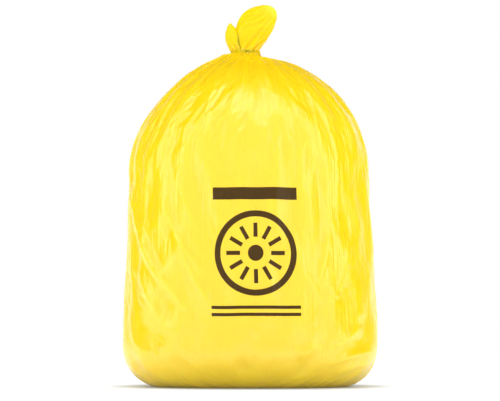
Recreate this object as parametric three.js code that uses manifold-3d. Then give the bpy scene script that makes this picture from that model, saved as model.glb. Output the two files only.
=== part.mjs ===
// A filled waste bag of thin plastic film, tied shut, standing on a level floor.
// The film is one piece: a belly with a flat foot, sides and shoulders in soft upright folds that run up to
// the pinched neck, and above it the tail of the bag, which stands up as one large ear and one small one.
// Millimetres. X runs across the bag, Y from its front to its back and Z up from the floor.
// The origin is on the floor, in the middle of the belly.
import * as THREE from "three";
import { mergeVertices } from "three/addons/utils/BufferGeometryUtils.js";
import Module from "manifold-3d";

// Belly and foot
const bellyWidth = 558; // across the widest part, just above the rounded foot
const bellyDepth = 430; // front to back there
const footWidth = 392; // the part of the underside that lies flat on the floor
const footDepth = 300;
const footRoundHeight = 88; // floor to the top of the rounded lower edge
const sectionSquareness = 2.25; // 2 is an ellipse, more is boxier

// Sides and shoulders
const shoulderHeight = 475; // floor to where the sides start to lean in
const shoulderWidth = 530;
const shoulderDepth = 400;
const shoulderShift = -3; // the left shoulder stands a little further out than the right one
const sideSwell = 2; // how far the sides swell out under the shoulders
const shoulderTurnHeight = 75; // how far the sides keep rising before they turn in
const crownDrop = 36; // how far under the neck's foot the shoulders lie at the crown's spread
const crownSpread = 168; // how far out from the neck they are there
const crownShift = 6; // the crown's middle stands right of the belly's
const crownSideDrop = 5; // how much lower the crown meets the neck on its right than in its middle

// Neck
const neckHeight = 740; // floor to the pinch
const neckLength = 8; // the upright stretch under the pinch
const neckWidth = 66;
const neckDepth = 48;
const neckShift = -11; // the neck stands left of the middle
const neckBend = 30; // the height under the pinch in which the crown swings over to it

// Main folds of the film, from the neck down to the belly
const foldCount = 24;
const foldDepth = 6; // on the shoulders
const foldDepthAtNeck = 0.16; // share of the neck's reach
const foldFoot = 110; // floor to where the folds run out
const foldSway = 0.1; // how far they wander sideways from even spacing, in radians
const foldUnevenness = 0.6; // how much shallower the shallowest ones are

// Ears above the neck, both of the bag's own film
const earRootDrop = 8; // how far below the pinch the ears start, inside the neck
const earPleatCount = 9;
const earPleatDepth = 0.1; // share of the ear's reach
const tipThinness = 0.5; // how thick an ear's film is at its tip, against its root
const rootShare = { x: 0.9, y: 0.8 }; // of the neck's reach, so that an ear starts inside the neck
const leastReach = 1; // half the film's folded edge at an ear's tip
const largeEar = { height: 101, width: 86, thickness: 46, lean: 43, shift: 0, tipShare: 0.25 };
const smallEar = { height: 64, width: 54, thickness: 34, lean: -21, shift: -14, tipShare: 0.85 };

// How finely the forms are divided
const pointsPerFold = 5;
const stepsPerCurve = { foot: 6, side: 8, shoulder: 17, neck: 1 };
const earPointsAround = 36;
const earSteps = 14;

const filmColour = 0xffe11a;
const lift = THREE.MathUtils;

// One upright side of the bag, as reach outwards (x) against height (y).
function sideProfile(footReach, bellyReach, shoulderReach, neckReach) {
  const side = new THREE.Path().moveTo(footReach, 0);
  const roundness = 0.55; // makes the foot's curve close to a quarter of an ellipse
  side.bezierCurveTo(
    lift.lerp(footReach, bellyReach, roundness), 0,
    bellyReach, footRoundHeight * (1 - roundness),
    bellyReach, footRoundHeight,
  );
  const sideRise = shoulderHeight - footRoundHeight;
  side.bezierCurveTo(
    bellyReach, footRoundHeight + sideRise / 3,
    shoulderReach + sideSwell, shoulderHeight - sideRise / 3,
    shoulderReach, shoulderHeight,
  );
  const crownHeight = neckHeight - neckLength;
  side.bezierCurveTo(
    shoulderReach, shoulderHeight + shoulderTurnHeight,
    neckReach + crownSpread, crownHeight - crownDrop,
    neckReach, crownHeight,
  );
  side.lineTo(neckReach, neckHeight);
  const [foot, flank, shoulder, neck] = side.curves;
  return [
    ...foot.getPoints(stepsPerCurve.foot),
    ...flank.getPoints(stepsPerCurve.side).slice(1),
    ...shoulder.getPoints(stepsPerCurve.shoulder).slice(1),
    ...neck.getPoints(stepsPerCurve.neck).slice(1),
  ];
}

// A closed form turned on a lathe and then reshaped: place(angle, step) moves the point that lies at that
// angle, counted from the front towards the right, on that ring, counted from below.
// The first and the last ring are points.
function reshapedLathe(ringCount, around, place) {
  const profile = Array.from(
    { length: ringCount },
    (_, step) => new THREE.Vector2(step === 0 || step === ringCount - 1 ? 0 : 1, step),
  );
  const turned = new THREE.LatheGeometry(profile, around);
  const points = turned.getAttribute("position");
  for (let i = 0; i < points.count; i += 1) {
    const angle = Math.atan2(points.getX(i), points.getZ(i));
    const { x, y, z } = place(angle, Math.round(points.getY(i)));
    points.setXYZ(i, x, y, z);
  }
  return turned;
}

// How deep the film lies in one of evenly spaced folds at an angle: 0 on a ridge, 1 in a groove.
function groove(angle, folds) {
  return 0.5 - 0.5 * Math.cos(folds * angle);
}

// A point on a ring that is round or boxy about its middle, drawn in by a share of its reach.
function ringPoint(angle, middle, reach, squareness, inward) {
  const bow = (value) => Math.sign(value) * Math.abs(value) ** (2 / squareness);
  const drawnIn = 1 - inward;
  return {
    x: middle.x + reach.x * drawnIn * bow(Math.sin(angle)),
    y: middle.y - reach.y * drawnIn * bow(Math.cos(angle)),
    z: middle.z,
  };
}

// How far the middle of the bag stands to the right at a height.
function shiftAt(height) {
  const toShoulder = lift.smoothstep(height, footRoundHeight, shoulderHeight);
  const toCrown = lift.smoothstep(height, shoulderHeight, neckHeight - neckLength - crownDrop);
  const toPinch = lift.smoothstep(height, neckHeight - neckBend, neckHeight);
  return lift.lerp(lift.lerp(toShoulder * shoulderShift, crownShift, toCrown), neckShift, toPinch);
}

// How much lower the film lies on the crown's right, and higher on its left, at a height.
function sideDropAt(height) {
  const crownHeight = neckHeight - neckLength;
  const rising = lift.smoothstep(height, shoulderHeight, crownHeight);
  const ending = lift.smoothstep(height, crownHeight, neckHeight);
  return crownSideDrop * rising * (1 - ending);
}

// The share of its reach by which a main fold draws the film in.
function mainFold(angle, height, reach) {
  const swayed = angle + foldSway * Math.sin(2 * angle + 1);
  const strength = 1 - foldUnevenness * (0.5 + 0.5 * Math.sin(3 * angle + 2));
  const depth = foldDepth * lift.smoothstep(height, foldFoot, shoulderHeight);
  const share = Math.min(depth / ((reach.x + reach.y) / 2), foldDepthAtNeck);
  return share * strength * groove(swayed, foldCount);
}

// Foot, belly, shoulders and neck
function bagBody() {
  const across = sideProfile(footWidth / 2, bellyWidth / 2, shoulderWidth / 2, neckWidth / 2);
  const deep = sideProfile(footDepth / 2, bellyDepth / 2, shoulderDepth / 2, neckDepth / 2);
  const rings = across.length + 2; // a point under the foot and one in the neck close the form
  return reshapedLathe(rings, foldCount * pointsPerFold, (angle, step) => {
    const level = lift.clamp(step - 1, 0, across.length - 1);
    const closed = step === 0 || step === rings - 1;
    const height = across[level].y;
    const toNeck = lift.smoothstep(height, shoulderHeight, neckHeight);
    const outer = { x: across[level].x, y: deep[level].x };
    const drop = closed ? 0 : sideDropAt(height) * Math.sin(angle);
    const middle = { x: shiftAt(height), y: 0, z: height - drop };
    const reach = closed ? { x: 0, y: 0 } : outer;
    const squareness = lift.lerp(sectionSquareness, 2, toNeck);
    return ringPoint(angle, middle, reach, squareness, mainFold(angle, height, outer));
  });
}

// An ear grows out of the neck, leans to one side and ends in a round or pointed tip.
function ear({ height, width, thickness, lean, shift, tipShare }) {
  const root = {
    x: (neckWidth / 2 - Math.abs(shift)) * rootShare.x,
    y: (neckDepth / 2) * rootShare.y,
  };
  const rings = earSteps + 3;
  return reshapedLathe(rings, earPointsAround, (angle, step) => {
    const share = lift.clamp((step - 1) / earSteps, 0, 1);
    const closed = step === 0 || step === rings - 1;
    const grown = lift.smoothstep(share, 0, 0.3);
    const intoTip = Math.max(0, (share - (1 - tipShare)) / tipShare);
    const tip = Math.sqrt(Math.max(0, 1 - intoTip ** 2));
    const thinned = lift.lerp(1, tipThinness, share);
    const middle = {
      x: neckShift + shift + lean * share,
      y: 0,
      z: lift.lerp(neckHeight - earRootDrop, neckHeight + height, share),
    };
    const reach = closed
      ? { x: 0, y: 0 }
      : {
          x: Math.max(lift.lerp(root.x, width / 2, grown) * tip, leastReach),
          y: Math.max(lift.lerp(root.y, thickness / 2, grown) * tip * thinned, leastReach),
        };
    return ringPoint(angle, middle, reach, 2, earPleatDepth * groove(angle, earPleatCount));
  });
}

// A closed geometry as a manifold-3d solid, for joining.
function solidFrom(wasm, geometry) {
  geometry.deleteAttribute("normal");
  geometry.deleteAttribute("uv");
  const merged = mergeVertices(geometry, 1e-3);
  const corners = merged.index.array;
  const triangles = [];
  for (let i = 0; i < corners.length; i += 3) {
    const [a, b, c] = corners.slice(i, i + 3);
    if (a !== b && b !== c && c !== a) triangles.push(a, b, c);
  }
  return new wasm.Manifold(
    new wasm.Mesh({
      numProp: 3,
      vertProperties: merged.getAttribute("position").array,
      triVerts: new Uint32Array(triangles),
    }),
  );
}

function geometryFrom(solid) {
  const { vertProperties, triVerts } = solid.getMesh();
  const geometry = new THREE.BufferGeometry();
  geometry.setAttribute("position", new THREE.BufferAttribute(vertProperties, 3));
  geometry.setIndex(new THREE.BufferAttribute(triVerts, 1));
  geometry.computeVertexNormals();
  return geometry;
}

const wasm = await Module();
wasm.setup();
const joined = solidFrom(wasm, bagBody())
  .add(solidFrom(wasm, ear(largeEar)))
  .add(solidFrom(wasm, ear(smallEar)));

const film = new THREE.MeshStandardMaterial({ color: filmColour, roughness: 0.35, metalness: 0 });
const wasteBag = new THREE.Mesh(geometryFrom(joined), film);
wasteBag.name = "waste_bag";

const bag = new THREE.Group();
bag.add(wasteBag);
export default bag;
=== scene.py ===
import math

import bpy
import numpy as np
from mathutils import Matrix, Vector


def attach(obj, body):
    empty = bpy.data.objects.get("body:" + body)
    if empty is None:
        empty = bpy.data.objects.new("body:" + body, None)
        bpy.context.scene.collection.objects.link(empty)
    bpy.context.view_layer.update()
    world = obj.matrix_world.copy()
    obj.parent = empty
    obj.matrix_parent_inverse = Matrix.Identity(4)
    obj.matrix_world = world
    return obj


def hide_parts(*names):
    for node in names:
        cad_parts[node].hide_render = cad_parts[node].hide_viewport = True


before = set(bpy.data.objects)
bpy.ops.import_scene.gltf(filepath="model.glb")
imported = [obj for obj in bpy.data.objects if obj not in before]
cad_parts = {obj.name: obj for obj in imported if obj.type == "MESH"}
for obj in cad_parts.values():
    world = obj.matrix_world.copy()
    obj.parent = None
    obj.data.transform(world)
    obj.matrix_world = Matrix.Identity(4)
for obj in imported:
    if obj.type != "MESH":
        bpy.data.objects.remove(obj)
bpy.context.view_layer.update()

scene = bpy.context.scene
white = (1, 1, 1, 1)
tiny = 1e-12   # keeps a division away from zero


# A long lens, low in front of the bag
camera = {
    "distance": 4.5,           # from the lens to the middle of the bag
    "height": 0.12,            # of the lens above the floor
    "aim": (-0.001, 0.4085),   # x and z of the point in the middle of the picture
    "focal": 147.2,            # millimetres
    "sensor": 36,
    "sight": 60,               # how far it sees
}


def makeCamera(values):
    data = bpy.data.cameras.new("photoCamera")
    data.lens = values["focal"]
    data.sensor_width = values["sensor"]
    data.clip_end = values["sight"]
    holder = bpy.data.objects.new("photoCamera", data)
    scene.collection.objects.link(holder)
    aim = Vector((values["aim"][0], 0, values["aim"][1]))
    holder.location = (aim.x, -values["distance"], values["height"])
    holder.rotation_euler = (aim - holder.location).to_track_quat("-Z", "Y").to_euler()
    scene.camera = holder


makeCamera(camera)
print("camera set")


# A value that runs smoothly from one level to another between two ends
def ramp(tree, value, ends, levels=(0, 1)):
    node = tree.nodes.new("ShaderNodeMapRange")
    node.interpolation_type = "SMOOTHSTEP"
    tree.links.new(value, node.inputs["Value"])
    node.inputs["From Min"].default_value, node.inputs["From Max"].default_value = ends
    node.inputs["To Min"].default_value, node.inputs["To Max"].default_value = levels
    return node.outputs["Result"]


def calculate(tree, operation, *values):
    node = tree.nodes.new("ShaderNodeMath")
    node.operation = operation
    for socket, value in zip(node.inputs, values):
        if isinstance(value, (int, float)):
            socket.default_value = value
        else:
            tree.links.new(value, socket)
    return node.outputs[0]


def splitUp(tree, value):
    node = tree.nodes.new("ShaderNodeSeparateXYZ")
    tree.links.new(value, node.inputs[0])
    return node.outputs


# A pale floor with a painted shadow near the bag, a wall of soft light in front that fades out to the sides
# and overhead, a white backdrop low behind the bag, and soft boxes
studio = {
    "floorSize": 16,
    "floorColour": (0.46, 0.50, 0.56, 1),
    "floorRoughness": 0.6,
    "paintedShadowGlow": 0.08,                 # the floor glows white away from the bag and less near it, a painted shadow round its foot
    "farGlow": 1.0,
    "paintedShadowEnds": (0.20, 0.44),         # metres from the middle of the bag, over which the painted shadow fades into the white glow
    "wall": 1.0,                      # brightness of the air straight in front
    "gap": 0.03,                      # and beside, above and behind the bag
    "wallEnds": (-0.90, 0.0),         # -1 is straight in front, 1 straight behind
    "backdrop": 1.3,
    "backdropBegins": (0.50, 0.85),
    "backdropTop": (0.25, 0.70),      # 0 is level, 1 straight up
    "seenAir": 1.0,                   # how bright the air looks to the camera
    "boxAim": (0, 0, 0.42),
    "boxes": [
        {"azimuth": -58, "elevation": 18, "distance": 2.2, "width": 0.9, "height": 1.8, "power": 9},
        {"azimuth": 52, "elevation": 20, "distance": 2.2, "width": 1.0, "height": 1.8, "power": 9},
        {"azimuth": 0, "elevation": 50, "distance": 2.1, "width": 1.9, "height": 0.9, "power": 10},
    ],
    # these light the film's sides and crown, and are kept out of its reflections
    "fills": [
        {"azimuth": -100, "elevation": 12, "distance": 2.2, "width": 1.2, "height": 1.6, "power": 13},
        {"azimuth": 100, "elevation": 12, "distance": 2.2, "width": 1.2, "height": 1.6, "power": 15},
        {"azimuth": 0, "elevation": 84, "distance": 2.0, "width": 1.4, "height": 1.2, "power": 10},
    ],
}


def makeAir(values):
    world = bpy.data.worlds.new("studioAir")
    world.use_nodes = True
    tree = world.node_tree
    background = tree.nodes["Background"]
    where = tree.nodes.new("ShaderNodeTexCoord")
    side, back, up = splitUp(tree, where.outputs["Generated"])
    wall = ramp(tree, back, values["wallEnds"], (values["wall"], values["gap"]))
    behind = ramp(tree, back, values["backdropBegins"], (0, values["backdrop"]))
    low = ramp(tree, up, values["backdropTop"], (1, 0))
    air = calculate(tree, "MULTIPLY_ADD", behind, low, wall)
    seen = tree.nodes.new("ShaderNodeLightPath")
    strength = tree.nodes.new("ShaderNodeMix")
    strength.inputs["B"].default_value = values["seenAir"]
    tree.links.new(seen.outputs["Is Camera Ray"], strength.inputs["Factor"])
    tree.links.new(air, strength.inputs["A"])
    tree.links.new(strength.outputs["Result"], background.inputs["Strength"])
    background.inputs["Color"].default_value = white
    scene.world = world


def makeFloor(values):
    far = values["floorSize"] / 2
    mesh = bpy.data.meshes.new("floor")
    mesh.from_pydata([(-far, -far, 0), (far, -far, 0), (far, far, 0), (-far, far, 0)], [], [(0, 1, 2, 3)])
    floor = bpy.data.objects.new("floor", mesh)
    scene.collection.objects.link(floor)
    paint = bpy.data.materials.new("paleFloor")
    paint.use_nodes = True
    tree = paint.node_tree
    shader = tree.nodes["Principled BSDF"]
    shader.inputs["Base Color"].default_value = values["floorColour"]
    shader.inputs["Roughness"].default_value = values["floorRoughness"]
    shader.inputs["Emission Color"].default_value = white
    where = tree.nodes.new("ShaderNodeTexCoord")
    reach = tree.nodes.new("ShaderNodeVectorMath")
    reach.operation = "LENGTH"
    tree.links.new(where.outputs["Object"], reach.inputs[0])
    # weaker glow near the bag paints a shadow round its foot
    glow = ramp(tree, reach.outputs["Value"], values["paintedShadowEnds"], (values["paintedShadowGlow"], values["farGlow"]))
    tree.links.new(glow, shader.inputs["Emission Strength"])
    mesh.materials.append(paint)


def makeBox(name, box, aim, reflected):
    data = bpy.data.lights.new(name, "AREA")
    data.shape = "RECTANGLE"
    data.size = box["width"]
    data.size_y = box["height"]
    data.energy = box["power"]
    lamp = bpy.data.objects.new(name, data)
    lamp.visible_glossy = reflected
    azimuth, elevation = math.radians(box["azimuth"]), math.radians(box["elevation"])
    away = Vector((
        math.sin(azimuth) * math.cos(elevation),
        -math.cos(azimuth) * math.cos(elevation),
        math.sin(elevation),
    ))
    lamp.location = Vector(aim) + away * box["distance"]
    lamp.rotation_euler = (-away).to_track_quat("-Z", "Y").to_euler()
    scene.collection.objects.link(lamp)


makeAir(studio)
makeFloor(studio)
for number, box in enumerate(studio["boxes"]):
    makeBox(f"softBox{number}", box, studio["boxAim"], reflected=True)
for number, box in enumerate(studio["fills"]):
    makeBox(f"fill{number}", box, studio["boxAim"], reflected=False)
scene.view_settings.view_transform = "Standard"
print("studio lit")


# Lines and surfaces

def smooth(value, ends):
    low, high = ends
    share = np.clip((value - low) / (high - low), 0, 1)
    return share * share * (3 - 2 * share)


def blend(a, b, share):
    return a + (b - a) * share


# A power that keeps the sign
def bowed(value, power):
    return np.sign(value) * np.abs(value) ** power


def curve(corners, steps):
    share = np.linspace(0, 1, steps)[:, None]
    a, b, c, d = (np.array(corner, float) for corner in corners)
    rest = 1 - share
    return rest ** 3 * a + 3 * rest ** 2 * share * b + 3 * rest * share ** 2 * c + share ** 3 * d


# How far along a line each of its points lies
def runAlong(line):
    return np.concatenate([[0], np.cumsum(np.linalg.norm(np.diff(line, axis=0), axis=1))])


def turnsRound(columns):
    return np.linspace(0, 2 * np.pi, columns, endpoint=False)[None]


def threadsRound(points):
    return np.linalg.norm(np.roll(points, -1, 1) - points, axis=2)


def girthOf(points):
    return threadsRound(points).sum(1)


def outwardOf(points):
    across = np.roll(points, -1, 1) - np.roll(points, 1, 1)
    along = np.gradient(points, axis=0)
    normal = np.cross(across, along)
    return normal / np.maximum(np.linalg.norm(normal, axis=2, keepdims=True), tiny)


# A smooth random field over a grid of rings, as a sum of waves: whole ones round it, and up all of it about
# as many as "up" says
def waves(body, seed, kind):
    random = np.random.default_rng(seed)
    rows, columns = body.shape[:2]
    wholeRise = 1.05
    turn = turnsRound(columns)
    rise = np.linspace(0, wholeRise, rows)[:, None]
    field = np.zeros((rows, columns))
    for _ in range(kind["count"]):
        rounds = random.integers(kind["round"][0], kind["round"][1] + 1)
        lifts = random.uniform(*kind["up"]) * random.choice([-1, 1])
        phase = random.uniform(0, 2 * np.pi)
        field += np.sin(rounds * turn + 2 * np.pi * lifts * rise + phase)
    return kind["size"] * (field / math.sqrt(kind["count"] / 2))


# Thin film, as a grid of threads that settles on the body it wraps. A thread pulls both its ends, each by
# half of what is wanting.
def pull(a, b, length, strength):
    step = b - a
    reach = np.sqrt(np.einsum("ijk,ijk->ij", step, step)) + tiny
    return step * (0.5 * strength * (1 - length / reach))[..., None]


# One pass over all the threads, so that each comes back towards its own length
def relax(points, lengths, shear, stiffness):
    across, along, rising, falling = lengths
    # round the bag, even threads and then odd ones
    even, odd = points[:, 0::2], points[:, 1::2]
    step = pull(even, odd, across[:, 0::2], 1.0)
    even += step
    odd -= step
    step = pull(odd, np.roll(even, -1, 1), across[:, 1::2], 1.0)
    odd += step
    even -= np.roll(step, 1, 1)
    # up the bag
    for first in (0, 1):
        low = points[first:-1:2]
        high = points[first + 1::2]
        step = pull(low, high, along[first::2], 1.0)
        low += step
        high -= step
    # slantwise, both ways at once, so each way counts half
    right = np.roll(points, -1, 1)
    step = pull(points[:-1], right[1:], rising, shear)
    move = np.zeros_like(points)
    move[:-1] += step
    move[1:] -= np.roll(step, 1, 1)
    step = pull(right[:-1], points[1:], falling, shear)
    move[:-1] += np.roll(step, 1, 1)
    move[1:] -= step
    points += move / 2
    # stiffness against sharp bends
    move[:] = 0
    far = np.roll(points, -2, 1)
    step = pull(points, far, across + np.roll(across, -1, 1), stiffness)
    move += step
    move -= np.roll(step, 2, 1)
    step = pull(points[:-2], points[2:], along[:-1] + along[1:], stiffness)
    move[:-2] += step
    move[2:] -= step
    points += move / 2


def finer(grid, rows, columns):
    old = np.linspace(0, grid.shape[0] - 1, rows)
    low = np.minimum(old.astype(int), grid.shape[0] - 2)
    share = (old - low)[:, None, None]
    grid = grid[low] * (1 - share) + grid[low + 1] * share
    wide = np.concatenate([grid, grid[:, :1]], 1)
    place = np.arange(columns) * (grid.shape[1] / columns)
    low = place.astype(int)
    share = (place - low)[None, :, None]
    return wide[:, low] * (1 - share) + wide[:, low + 1] * share


# form(rows, columns) gives the surface that the film wraps, spare(body) how much longer the film is than
# that surface, across, along and in slant, room(body) how far it may fold inwards, and start(body) how far
# out it starts.
def settleFilm(form, spare, room, start, values):
    moved = None
    for rows, columns, rounds, stiffness in values["levels"]:
        body = form(rows, columns)
        outward = outwardOf(body)
        moved = start(body) * outward if moved is None else finer(moved, rows, columns)
        random = np.random.default_rng(rows)
        points = body + moved + outward * random.normal(0, values["unevenness"], (rows, columns, 1))
        spareAcross, spareAlong, slant = spare(body)
        across = threadsRound(body) * spareAcross
        along = np.linalg.norm(body[1:] - body[:-1], axis=2) * spareAlong[:-1]
        wide = (across[:-1] + across[1:]) / 2
        rising = np.hypot(wide + slant[:-1] * along, along)
        falling = np.hypot(wide - slant[:-1] * along, along)
        inside = room(body)
        for _ in range(rounds):
            relax(points, (across, along, rising, falling), values["shear"], stiffness)
            off = points - body
            height = np.einsum("ijk,ijk->ij", off, outward)
            over = np.maximum(height - values["proud"], 0) * values["hold"]
            under = np.maximum(-inside - height, 0) * values["lift"]
            points += outward * (under - over)[..., None]
            points -= (off - outward * height[..., None]) * values["grip"]
            points[-1] = body[-1] + moved[-1]
            points[..., 2] = np.maximum(points[..., 2], 0)
        moved = points - body
    return body, points


# The bag's body, in the sizes of its CAD model, with shallower main folds
bag = {
    "bellyWidth": 0.558,
    "bellyDepth": 0.430,
    "footWidth": 0.392,
    "footDepth": 0.300,
    "footRoundHeight": 0.088,
    "footCorners": (0.55, 0.45),   # how far out and up the corners of the foot's curve lie
    "footCentre": 0.01,            # reach of the first ring under the foot
    "sectionSquareness": 2.25,     # 2 is an ellipse, more is boxier
    "shoulderHeight": 0.475,
    "shoulderWidth": 0.530,
    "shoulderDepth": 0.400,
    "shoulderShift": -0.003,
    "shoulderTurn": 0.075,
    "sideSwell": 0.002,
    "crownDrop": 0.036,
    "crownSpread": 0.168,
    "crownShift": 0.006,
    "crownSideDrop": 0.005,
    "neckHeight": 0.740,
    "neckLength": 0.008,
    "neckWidth": 0.066,
    "neckDepth": 0.048,
    "neckShift": -0.011,
    "neckBend": 0.030,
    "foldCount": 24,               # main folds round the bag
    "foldDepth": 0.004,
    "foldStart": 0.11,
    "foldSway": 0.10,
    "foldUnevenness": 0.6,
    "neckFoldDepth": 0.16,         # share of the neck's reach
    "stepsRound": 1441,            # how finely its rings and lines are drawn before they are spaced out
    "stepsUp": {"under": 80, "edge": 160, "flank": 200, "crown": 400, "pinch": 20},
}
crownHeight = bag["neckHeight"] - bag["neckLength"]

# How the film lies on it
gathers = {
    "filmGirth": 1.60,             # of the flat tube that the bag is made of
    "lowTucks": 0.16,              # share of the gathered film that shows, the rest is tucked away
    "crownTucks": 0.035,           # the same on the crown
    "tucksChange": (0.45, 0.62),   # heights between which the one becomes the other
    "mostSpare": 2.2,              # times the body's girth
    "footSpare": 1.004,
    "footEnds": (0.02, 0.10),      # heights over which the foot's flat film turns into gathers
    "slackAlong": 0.005,           # share of spare length
    "slackEnds": (0.45, 0.65),     # heights over which it runs out
    "slant": 0.08,
    "slantLeft": (-0.08, 0.05),    # how far left and how far forward the slant sets in
    "slantFront": (-0.12, 0.02),
    "slantBegins": (0.03, 0.15),
    "slantEnds": (0.40, 0.56),
    "slantWaves": {"size": 0.4, "round": (1, 3), "up": (0.4, 1.6), "count": 5},
    "slantSeed": 5,
    "room": (0.010, 0.022),        # how far it may fold inwards on the belly and on the crown
    "roomChange": (0.40, 0.70),
    "mostRoom": 0.72,              # share of the body's own reach
}

# The pleats that it starts from
pleats = {
    "sets": [{"count": 41, "share": 0.75, "seed": 3}, {"count": 67, "share": 0.45, "seed": 4}],
    "wander": {"size": 0.5, "round": (1, 6), "up": (0, 0.4), "count": 9},
    "meanStrength": 0.75,
    "strength": {"size": 0.45, "round": (2, 12), "up": (0, 2.5), "count": 14},
    "strengthLimits": (0.1, 1.5),
    "mostSpare": 2.6,
    "mostDepth": 0.6,              # share of the body's own reach
    "begin": (0.03, 0.3),
    "ripples": {"size": 0.002, "round": (3, 24), "up": (1, 7), "count": 30},
    "ripplesBegin": (0.005, 0.05),
    "ripplesEnd": (0.6, 0.7),
    "ripplesSeed": 11,
}

bodyFilm = {
    # rows, columns, rounds and stiffness, from coarse to fine
    "levels": [(52, 400, 80, 0.2), (104, 400, 60, 0.15), (208, 400, 60, 0.08)],
    "unevenness": 0.0004,
    "shear": 0.5,      # how firmly the film keeps its meshes square
    "proud": 0.003,    # how far it may stand off the body
    "hold": 0.05,      # how firmly it is held back there
    "lift": 0.5,       # how firmly it is pushed out where it folds in too far
    "grip": 0.002,     # how firmly it keeps its place along the body
}


# One upright side, from under the foot to the pinch, as reach and height
def sideLine(foot, belly, shoulder, neck):
    low, top = bag["footRoundHeight"], bag["shoulderHeight"]
    rise = top - low
    out, up = bag["footCorners"]
    steps = bag["stepsUp"]
    under = np.linspace((bag["footCentre"], 0), (foot, 0), steps["under"])
    edge = curve([(foot, 0), (blend(foot, belly, out), 0), (belly, low * up), (belly, low)], steps["edge"])
    flank = curve([(belly, low), (belly, low + rise / 3),
                   (shoulder + bag["sideSwell"], top - rise / 3), (shoulder, top)], steps["flank"])
    crown = curve([(shoulder, top), (shoulder, top + bag["shoulderTurn"]),
                   (neck + bag["crownSpread"], crownHeight - bag["crownDrop"]), (neck, crownHeight)],
                  steps["crown"])
    pinch = np.linspace((neck, crownHeight), (neck, bag["neckHeight"]), steps["pinch"])
    return np.vstack([under[:-1], edge[:-1], flank[:-1], crown[:-1], pinch])


# The share of its reach by which a main fold draws the body in
def mainFold(turn, height, reach):
    sway = bag["foldSway"] * np.sin(2 * turn + 1)
    fold = 0.5 - 0.5 * np.cos(bag["foldCount"] * (turn + sway))
    fold *= 1 - bag["foldUnevenness"] * (0.5 + 0.5 * np.sin(3 * turn + 2))
    depth = bag["foldDepth"] * smooth(height, (bag["foldStart"], bag["shoulderHeight"]))
    return np.minimum(depth / reach, bag["neckFoldDepth"]) * fold


# How far the middle of the bag stands to the right at a height
def shiftAt(height):
    toShoulder = smooth(height, (bag["footRoundHeight"], bag["shoulderHeight"]))
    toCrown = smooth(height, (bag["shoulderHeight"], crownHeight - bag["crownDrop"]))
    toPinch = smooth(height, (bag["neckHeight"] - bag["neckBend"], bag["neckHeight"]))
    shift = blend(toShoulder * bag["shoulderShift"], bag["crownShift"], toCrown)
    return blend(shift, bag["neckShift"], toPinch)


# How much lower the body lies on the crown's right, and higher on its left
def sideDropAt(height):
    rising = smooth(height, (bag["shoulderHeight"], crownHeight))
    ending = smooth(height, (crownHeight, bag["neckHeight"]))
    return bag["crownSideDrop"] * (rising * (1 - ending))


def bodyForm(rows, columns):
    wide = sideLine(*(bag[part + "Width"] / 2 for part in ("foot", "belly", "shoulder", "neck")))
    deep = sideLine(*(bag[part + "Depth"] / 2 for part in ("foot", "belly", "shoulder", "neck")))
    run = runAlong((wide + deep) / 2)
    place = np.linspace(0, run[-1], rows)
    reachX = np.interp(place, run, wide[:, 0])[:, None]
    reachY = np.interp(place, run, deep[:, 0])[:, None]
    height = np.interp(place, run, wide[:, 1])[:, None]
    toNeck = smooth(height, (bag["shoulderHeight"], bag["neckHeight"]))
    power = 2 / blend(bag["sectionSquareness"], 2, toNeck)
    turn = np.linspace(0, 2 * np.pi, bag["stepsRound"])[None]
    drawnIn = 1 - mainFold(turn, height, (reachX + reachY) / 2)
    x = reachX * drawnIn * bowed(np.sin(turn), power)
    y = -reachY * drawnIn * bowed(np.cos(turn), power)
    grid = np.empty((rows, columns, 3))
    for row in range(rows):
        steps = np.hypot(np.diff(x[row]), np.diff(y[row]))
        around = np.concatenate([[0], np.cumsum(steps)])
        at = np.arange(columns) * (around[-1] / columns)
        grid[row, :, 0] = np.interp(at, around, x[row])
        grid[row, :, 1] = np.interp(at, around, y[row])
    radius = np.maximum(np.hypot(grid[..., 0], grid[..., 1]), tiny)
    grid[..., 2] = height
    grid[..., 2] -= sideDropAt(height) * grid[..., 0] / radius
    grid[..., 0] += shiftAt(height)
    return grid


def tucksAt(height):
    return blend(gathers["lowTucks"], gathers["crownTucks"], smooth(height, gathers["tucksChange"]))


def bodySpare(body):
    x, y, height = body[..., 0], body[..., 1], body[..., 2]
    flat = np.maximum(gathers["filmGirth"] / girthOf(body)[:, None], 1.0)
    shown = 1 + (flat - 1) * tucksAt(height)
    fromFoot = smooth(height, gathers["footEnds"])
    across = blend(gathers["footSpare"], np.minimum(shown, gathers["mostSpare"]), fromFoot)
    along = 1 + gathers["slackAlong"] * (1 - smooth(height, gathers["slackEnds"]))
    lowLeft = smooth(-x, gathers["slantLeft"]) * smooth(-y, gathers["slantFront"])
    slant = gathers["slant"] * (lowLeft + waves(body, gathers["slantSeed"], gathers["slantWaves"]))
    slant = slant * smooth(height, gathers["slantBegins"]) * (1 - smooth(height, gathers["slantEnds"]))
    return across, along, slant


def bodyRoom(body):
    radius = girthOf(body)[:, None] / (2 * np.pi)
    up = smooth(body[..., 2], gathers["roomChange"])
    return np.minimum(blend(*gathers["room"], up), radius * gathers["mostRoom"])


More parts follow.
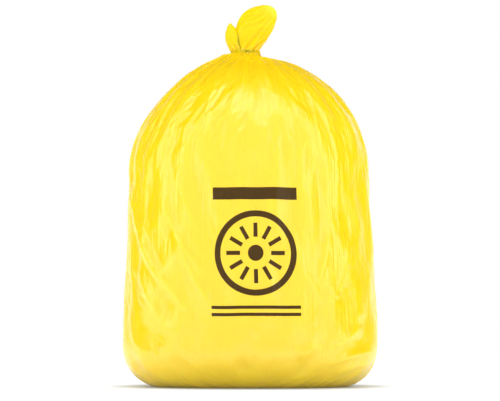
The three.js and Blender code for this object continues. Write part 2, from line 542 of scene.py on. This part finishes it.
def bodyStart(body):
    height = body[..., 2]
    girth = girthOf(body)[:, None]
    turn = turnsRound(body.shape[1])
    flat = np.maximum(gathers["filmGirth"] / girth, gathers["footSpare"])
    spare = np.minimum(1 + (flat - 1) * tucksAt(height), pleats["mostSpare"])
    depth = np.zeros_like(height)
    for pleat in pleats["sets"]:
        wander = waves(body, pleat["seed"], pleats["wander"])
        fold = np.abs(((pleat["count"] * turn / (2 * np.pi) + wander) % 1.0) * 2 - 1)
        strength = pleats["meanStrength"] + waves(body, pleat["seed"] + 20, pleats["strength"])
        strength = np.clip(strength, *pleats["strengthLimits"])
        drawnIn = pleat["share"] * strength * (1 - fold)
        depth += drawnIn * girth / pleat["count"] / 2 * np.sqrt(spare ** 2 - 1)
    depth = np.minimum(depth, pleats["mostDepth"] * girth / (2 * np.pi)) * smooth(height, pleats["begin"])
    ripples = waves(body, pleats["ripplesSeed"], pleats["ripples"])
    ripples = ripples * smooth(height, pleats["ripplesBegin"]) * (1 - smooth(height, pleats["ripplesEnd"]))
    return (ripples - depth)[..., None]


# Single folds that stand out on the front: from and to in x and z, how high the ridge stands, how wide it
# is, and how far it bows to the right where it runs down, or to the left where it runs up
ridges = [
    # slanting ones in the lower left
    ((-0.247, 0.378), (-0.180, 0.215), 0.0063, 0.009, -0.012),
    ((-0.232, 0.330), (-0.135, 0.165), 0.0070, 0.010, -0.010),
    ((-0.240, 0.262), (-0.160, 0.110), 0.0056, 0.009, -0.010),
    ((-0.190, 0.400), (-0.095, 0.235), 0.0063, 0.010, -0.008),
    ((-0.165, 0.330), (-0.060, 0.150), 0.0070, 0.011, -0.010),
    ((-0.150, 0.430), (-0.105, 0.330), 0.0042, 0.008, -0.004),
    ((-0.263, 0.440), (-0.232, 0.330), 0.0049, 0.008, -0.004),
    # beside the print
    ((0.105, 0.250), (0.150, 0.180), 0.0042, 0.008, 0.006),
    ((0.165, 0.330), (0.140, 0.215), 0.0042, 0.009, 0.004),
    ((0.215, 0.340), (0.180, 0.190), 0.0042, 0.009, 0.006),
    # in the lower right corner
    ((0.175, 0.085), (0.235, 0.128), 0.0056, 0.006, 0.000),
    ((0.165, 0.050), (0.262, 0.078), 0.0056, 0.007, 0.004),
    ((0.180, 0.030), (0.255, 0.052), 0.0049, 0.006, 0.004),
    ((0.100, 0.060), (0.150, 0.095), 0.0042, 0.009, 0.004),
    # upright ones on the crown
    ((-0.070, 0.655), (-0.073, 0.500), 0.0026, 0.007, -0.020),
    ((-0.028, 0.655), (-0.038, 0.560), 0.0020, 0.007, -0.004),
    ((0.002, 0.655), (-0.010, 0.530), 0.0022, 0.007, 0.006),
    ((0.120, 0.640), (0.150, 0.480), 0.0020, 0.006, 0.008),
    ((0.165, 0.600), (0.185, 0.450), 0.0022, 0.007, 0.006),
]

ridgeShape = {
    "taper": 0.6,            # under 1 gives blunt ends
    "sharpness": 1.5,        # more makes a ridge fall off faster beside its top
    "front": (0.02, 0.06),   # how far forward of the middle the ridges set in
}


def ridgeHeight(points):
    x, z = points[..., 0], points[..., 2]
    total = np.zeros_like(x)
    for start, end, height, width, bow in ridges:
        run = np.subtract(end, start)
        length = float(np.hypot(*run))
        along = ((x - start[0]) * run[0] + (z - start[1]) * run[1]) / length ** 2
        across = ((x - start[0]) * run[1] - (z - start[1]) * run[0]) / length
        share = np.clip(along, 0, 1)
        across = across + bow * 4 * share * (1 - share)
        taper = np.clip(4 * share * (1 - share), 0, 1) ** ridgeShape["taper"]
        total += height * taper / (1 + (across / width) ** 2) ** ridgeShape["sharpness"]
    return total * smooth(-points[..., 1], ridgeShape["front"])


body, film = settleFilm(bodyForm, bodySpare, bodyRoom, bodyStart, bodyFilm)
film += outwardOf(body) * ridgeHeight(film)[..., None]
print("bag film settled, girth", round(float(girthOf(film).max()), 3))


# Ears: the tail of the bag above the neck. Each is drawn by the line of its left and of its right edge,
# as the corners of a curve from the neck to the tip, in x and z.
ears = {
    "large": {
        "left": [(-0.036, 0.734), (-0.034, 0.798), (-0.038, 0.833), (0.034, 0.8440)],
        "right": [(0.017, 0.736), (0.048, 0.778), (0.085, 0.834), (0.034, 0.8440)],
        "thickness": 0.046,
        "pleats": 5,
        "seed": 31,
        "thinFrom": (0.590, 0.625),
    },
    "small": {
        "left": [(-0.043, 0.734), (-0.058, 0.755), (-0.062, 0.785), (-0.045, 0.804)],
        "right": [(-0.008, 0.738), (-0.014, 0.775), (-0.031, 0.790), (-0.045, 0.804)],
        "thickness": 0.034,
        "pleats": 4,
        "seed": 33,
        "thinFrom": (0.522, 0.530),
    },
}

earShape = {
    "steps": 400,             # how finely its edges are drawn
    "topRing": 0.985,         # share of its height at which the last ring lies
    "roundness": 2.2,         # more keeps the ear thick further up
    "thinning": 0.8,          # share of its thickness that is left at the tip
    "leastThickness": 0.0008,
    "edgePower": 0.9,         # these make it a flat pocket with narrow edges
    "facePower": 0.15,
    "rootSpare": 1.15,        # spare film across, at the root and above it
    "spare": 1.004,
    "rootEnds": (0, 0.35),
    "spareAlong": 1.005,
    "slantWaves": {"size": 0.02, "round": (0, 2), "up": (1, 6), "count": 4},
    "room": 0.010,
    "mostRoom": 0.5,          # share of the ear's own reach
    "wander": {"size": 0.5, "round": (1, 4), "up": (0, 5), "count": 9},
    "pleatDepth": 0.005,
    "pleatEnds": (0.1, 0.5),
    "tipPleatDepth": 0.0006,
    "ripples": {"size": 0.0004, "round": (2, 12), "up": (4, 30), "count": 20},
    "filmGirth": 0.30,
    "thinTowards": (0.72, 0.69),   # the film is single towards the upper right, in x and z
}

earFilm = {
    "levels": [(20, 70, 40, 0.3), (42, 140, 40, 0.2)],
    "unevenness": 0.0002,
    "shear": 0.5,
    "proud": 0.001,
    "hold": 0.15,
    "lift": 0.5,
    "grip": 0.02,
}


def earForm(ear):
    def form(rows, columns):
        left, right = (curve(ear[side], earShape["steps"]) for side in ("left", "right"))
        run = runAlong((left + right) / 2)
        place = np.linspace(0, earShape["topRing"], rows) * run[-1]
        low, high = (
            np.stack([np.interp(place, run, edge[:, axis]) for axis in (0, 1)])
            for edge in (left, right)
        )
        centre = ((low + high) / 2).T[:, None]
        reach = ((high - low) / 2).T[:, None]
        up = (place / run[-1])[:, None]
        dome = np.sqrt(np.maximum(1 - up ** earShape["roundness"], 0))
        fullness = dome * blend(1, earShape["thinning"], up)
        thick = ear["thickness"] / 2 * fullness + earShape["leastThickness"]
        turn = turnsRound(columns)
        flat = centre + reach * bowed(np.sin(turn), earShape["edgePower"])[..., None]
        depth = -thick * np.cos(turn) * np.abs(np.cos(turn)) ** earShape["facePower"]
        return np.stack([flat[..., 0], depth, flat[..., 1]], -1)
    return form


def earSpare(ear):
    def spare(body):
        rows, columns = body.shape[:2]
        up = np.linspace(0, 1, rows)[:, None] + np.zeros((rows, columns))
        across = blend(earShape["rootSpare"], earShape["spare"], smooth(up, earShape["rootEnds"]))
        along = np.full_like(up, earShape["spareAlong"])
        return across, along, waves(body, ear["seed"] + 5, earShape["slantWaves"])
    return spare


def earRoom(body):
    return np.minimum(earShape["room"], earShape["mostRoom"] * girthOf(body)[:, None] / (2 * np.pi))


def earStart(ear):
    def start(body):
        turn = turnsRound(body.shape[1])
        up = np.linspace(0, 1, body.shape[0])[:, None]
        wander = waves(body, ear["seed"], earShape["wander"])
        fold = np.abs(((ear["pleats"] * turn / (2 * np.pi) + wander) % 1.0) * 2 - 1)
        deep = earShape["pleatDepth"] * (1 - smooth(up, earShape["pleatEnds"])) + earShape["tipPleatDepth"]
        return (-deep * (1 - fold) + waves(body, ear["seed"] + 1, earShape["ripples"]))[..., None]
    return start


# How sharply the film bends at each point: above 0 on a ridge, under 0 in a groove
def creases(points):
    shortThread = 1e-4   # keeps very short threads from counting as creases
    near = (np.roll(points, 1, 1) + np.roll(points, -1, 1)) / 2
    near[1:-1] += (points[2:] + points[:-2]) / 2
    near[1:-1] /= 2
    return np.einsum("ijk,ijk->ij", points - near, outwardOf(points)) / (threadsRound(points) + shortThread)


# Joins rings of film into one closed skin, with the film's own measures as UV: metres round it and up it
def filmSkin(shells):
    vertices, faces, measures = [], [], []
    marks = {"crease": [], "thin": []}
    for shell in shells:
        points, up, thin = shell["points"], shell["up"], shell["thin"]
        rows, columns = points.shape[:2]
        base = len(vertices)
        vertices.extend(map(tuple, points.reshape(-1, 3)))
        vertices.append(tuple(points[0].mean(0)))
        vertices.append(tuple(points[-1].mean(0)))
        marks["crease"] += [*creases(points).ravel(), 0, 0]
        marks["thin"] += [*thin.ravel(), thin[0, 0], thin[-1, 0]]
        foot, top = base + rows * columns, base + rows * columns + 1
        last = base + (rows - 1) * columns
        half = columns // 2   # the film's seam is at the back
        for column in range(columns):
            following = (column + 1) % columns
            place = (column + half) % columns - half
            u, v = place * shell["girth"] / columns, (place + 1) * shell["girth"] / columns
            faces.append((foot, base + following, base + column))
            measures += [(u, up[0]), (v, up[0]), (u, up[0])]
            for row in range(rows - 1):
                low = base + row * columns
                high = low + columns
                faces.append((low + column, low + following, high + following, high + column))
                measures += [(u, up[row]), (v, up[row]), (v, up[row + 1]), (u, up[row + 1])]
            faces.append((top, last + column, last + following))
            measures += [(u, up[-1]), (u, up[-1]), (v, up[-1])]
    mesh = bpy.data.meshes.new("filmBag")
    mesh.from_pydata(vertices, [], faces)
    mesh.polygons.foreach_set("use_smooth", [True] * len(mesh.polygons))
    layer = mesh.uv_layers.new(name="film")
    layer.data.foreach_set("uv", np.array(measures, np.float32).ravel())
    for name, values in marks.items():
        mark = mesh.attributes.new(name, "FLOAT", "POINT")
        mark.data.foreach_set("value", np.array(values, np.float32))
    piece = bpy.data.objects.new("filmBag", mesh)
    scene.collection.objects.link(piece)
    return piece


# Up the body the print's place is measured by height, so that it comes out level.
shells = [{
    "points": film,
    "girth": gathers["filmGirth"],
    "up": body[:, 0, 2],
    "thin": np.zeros(film.shape[:2]),
}]
for ear in ears.values():
    form, settled = settleFilm(earForm(ear), earSpare(ear), earRoom, earStart(ear), earFilm)
    towardsX, towardsZ = earShape["thinTowards"]
    shells.append({
        "points": settled,
        "girth": earShape["filmGirth"],
        "up": np.linspace(form[0, :, 2].mean(), form[-1, :, 2].mean(), form.shape[0]),
        "thin": smooth(towardsX * settled[..., 0] + towardsZ * settled[..., 2], ear["thinFrom"]),
    })
print("ears settled")
wasteBag = filmSkin(shells)


# Glossy yellow film with fine streaks along its length, crumples, and a painted highlight on its sharp
# creases
finish = {
    "yellow": (0.94, 0.655, 0.006, 1),
    "gathered": (0.93, 0.61, 0.003, 1),      # where many layers lie on each other
    "gatheredEnds": (0.64, 0.75),            # heights over which they come together
    "singleLayerAndHighlight": (0.96, 0.77, 0.07, 1),         # one layer with light behind it; also the colour of the painted highlight on sharp ridges
    "ridgeHighlightEnds": (0.10, 0.5),               # how sharp a ridge starts to get the painted highlight, and gets the most of it
    # how much of the painted highlight colour the sharpest ridges get
    "paintedRidgeHighlight": 0.22,
    "roughness": 0.22,
    "gloss": 0.85,
    "glossOfEars": 0.15,
    "earEnds": (0.70, 0.76),                 # heights over which the ears' gloss sets in
    "glossOfInk": 0.2,
    "glow": 0.8,
    "glowReach": (0.012, 0.009, 0.003),      # how far light spreads in the layers of film
    "glowScale": 1.0,
    "streakWidth": 0.0035,
    "streakLength": 0.12,
    "streakDepth": 0.0016,
    "streakDetail": 2.0,
    "streaksFade": (0.50, 0.78),             # heights over which the streaks fade out
    "crumpleSize": 0.030,
    "crumpleDepth": 0.0006,
    "crumpleDetail": 3.0,
    "noiseRoughness": 0.6,
}

# A plain dark print on the front: bars, and a round ornament of a ring, rays and a dot
printing = {
    "ink": (0.072, 0.034, 0.002, 1),
    "middle": (0.013, 0.285),
    "bars": [   # width, height, and how far above the ornament's middle
        (0.190, 0.026, 0.126),
        (0.190, 0.007, -0.114),
        (0.190, 0.007, -0.129),
    ],
    "ringOutside": 0.090,
    "ringInside": 0.077,
    "rays": 12,
    "rayFrom": 0.034,
    "rayTo": 0.064,
    "rayWidth": 0.009,
    "dot": 0.017,
}


def both(tree, *masks):
    result = masks[0]
    for mask in masks[1:]:
        result = calculate(tree, "MULTIPLY", result, mask)
    return result


def under(tree, value, limit):
    return calculate(tree, "LESS_THAN", value, limit)


def over(tree, value, limit):
    return calculate(tree, "GREATER_THAN", value, limit)


def mixColour(tree, share, below, above):
    node = tree.nodes.new("ShaderNodeMix")
    node.data_type = "RGBA"
    tree.links.new(share, node.inputs[0])
    for socket, value in ((node.inputs[6], below), (node.inputs[7], above)):
        if isinstance(value, tuple):
            socket.default_value = value
        else:
            tree.links.new(value, socket)
    return node.outputs[2]


def attribute(tree, name):
    node = tree.nodes.new("ShaderNodeAttribute")
    node.attribute_name = name
    return node.outputs["Fac"]


def printMask(tree, u, v, depth):
    right = calculate(tree, "SUBTRACT", u, printing["middle"][0])
    up = calculate(tree, "SUBTRACT", v, printing["middle"][1])
    mask = None
    for width, height, place in printing["bars"]:
        inWidth = under(tree, calculate(tree, "ABSOLUTE", right), width / 2)
        offset = calculate(tree, "ABSOLUTE", calculate(tree, "SUBTRACT", up, place))
        bar = both(tree, inWidth, under(tree, offset, height / 2))
        mask = bar if mask is None else calculate(tree, "ADD", mask, bar)
    rightSquared = calculate(tree, "MULTIPLY", right, right)
    upSquared = calculate(tree, "MULTIPLY", up, up)
    reach = calculate(tree, "SQRT", calculate(tree, "ADD", rightSquared, upSquared))
    inRing = under(tree, reach, printing["ringOutside"])
    ring = both(tree, inRing, over(tree, reach, printing["ringInside"]))
    dot = under(tree, reach, printing["dot"])
    # the ring of rays as one ray, repeated by folding the angle
    rayAngle = 2 * math.pi / printing["rays"]
    turn = calculate(tree, "MULTIPLY", calculate(tree, "ARCTAN2", right, up), 1 / rayAngle)
    offRay = calculate(tree, "MULTIPLY", calculate(tree, "PINGPONG", turn, 0.5), rayAngle)
    across = calculate(tree, "MULTIPLY", offRay, reach)
    ray = both(tree, under(tree, across, printing["rayWidth"] / 2),
               over(tree, reach, printing["rayFrom"]), under(tree, reach, printing["rayTo"]))
    for shape in (ring, dot, ray):
        mask = calculate(tree, "ADD", mask, shape)
    onFront = under(tree, depth, 0.0)
    return both(tree, calculate(tree, "MINIMUM", mask, 1.0), onFront)


def stretchedNoise(tree, place, sizes, detail):
    mapping = tree.nodes.new("ShaderNodeMapping")
    mapping.inputs["Scale"].default_value = [1 / size / 2 for size in sizes]
    tree.links.new(place, mapping.inputs["Vector"])
    noise = tree.nodes.new("ShaderNodeTexNoise")
    noise.inputs["Scale"].default_value = 1.0
    noise.inputs["Detail"].default_value = detail
    noise.inputs["Roughness"].default_value = finish["noiseRoughness"]
    tree.links.new(mapping.outputs["Vector"], noise.inputs["Vector"])
    return noise.outputs["Fac"]


def bump(tree, height, distance, before=None):
    node = tree.nodes.new("ShaderNodeBump")
    node.inputs["Distance"].default_value = distance
    node.inputs["Strength"].default_value = 1.0
    tree.links.new(height, node.inputs["Height"])
    if before is not None:
        tree.links.new(before, node.inputs["Normal"])
    return node.outputs["Normal"]


def filmColour(tree, height, ink):
    gathered = ramp(tree, height, finish["gatheredEnds"])
    colour = mixColour(tree, gathered, finish["yellow"], finish["gathered"])
    # sharp ridges are painted paler, a painted highlight along them
    sharp = ramp(tree, attribute(tree, "crease"), finish["ridgeHighlightEnds"])
    ridge = calculate(tree, "MULTIPLY", sharp, finish["paintedRidgeHighlight"])
    colour = mixColour(tree, ridge, colour, finish["singleLayerAndHighlight"])
    colour = mixColour(tree, attribute(tree, "thin"), colour, finish["singleLayerAndHighlight"])
    return mixColour(tree, ink, colour, printing["ink"])


def filmGloss(tree, height, ink):
    gloss = ramp(tree, height, finish["earEnds"], (finish["gloss"], finish["glossOfEars"]))
    dulled = calculate(tree, "MULTIPLY", ink, 1 - finish["glossOfInk"] / finish["gloss"])
    return calculate(tree, "MULTIPLY", gloss, calculate(tree, "SUBTRACT", 1.0, dulled))


def filmRelief(tree, height, measures, place):
    streakSizes = (finish["streakWidth"], finish["streakLength"], 0.5)
    streaks = stretchedNoise(tree, measures, streakSizes, finish["streakDetail"])
    crumples = stretchedNoise(tree, place, (finish["crumpleSize"],) * 3, finish["crumpleDetail"])
    stretched = calculate(tree, "SUBTRACT", 1.0, ramp(tree, height, finish["streaksFade"]))
    relief = bump(tree, calculate(tree, "MULTIPLY", streaks, stretched), finish["streakDepth"])
    return bump(tree, crumples, finish["crumpleDepth"], relief)


def makeFinish():
    material = bpy.data.materials.new("yellowFilm")
    material.use_nodes = True
    tree = material.node_tree
    shader = tree.nodes["Principled BSDF"]
    measures = tree.nodes.new("ShaderNodeUVMap")
    measures.uv_map = "film"
    u, v, _ = splitUp(tree, measures.outputs["UV"])
    place = tree.nodes.new("ShaderNodeTexCoord")
    _, depth, height = splitUp(tree, place.outputs["Object"])
    ink = printMask(tree, u, v, depth)
    tree.links.new(filmColour(tree, height, ink), shader.inputs["Base Color"])
    tree.links.new(filmGloss(tree, height, ink), shader.inputs["Specular IOR Level"])
    relief = filmRelief(tree, height, measures.outputs["UV"], place.outputs["Object"])
    tree.links.new(relief, shader.inputs["Normal"])
    shader.inputs["Roughness"].default_value = finish["roughness"]
    shader.inputs["Subsurface Weight"].default_value = finish["glow"]
    shader.inputs["Subsurface Radius"].default_value = finish["glowReach"]
    shader.inputs["Subsurface Scale"].default_value = finish["glowScale"]
    return material


wasteBag.data.materials.append(makeFinish())
print("film finished")

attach(wasteBag, "root")
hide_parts("waste_bag")
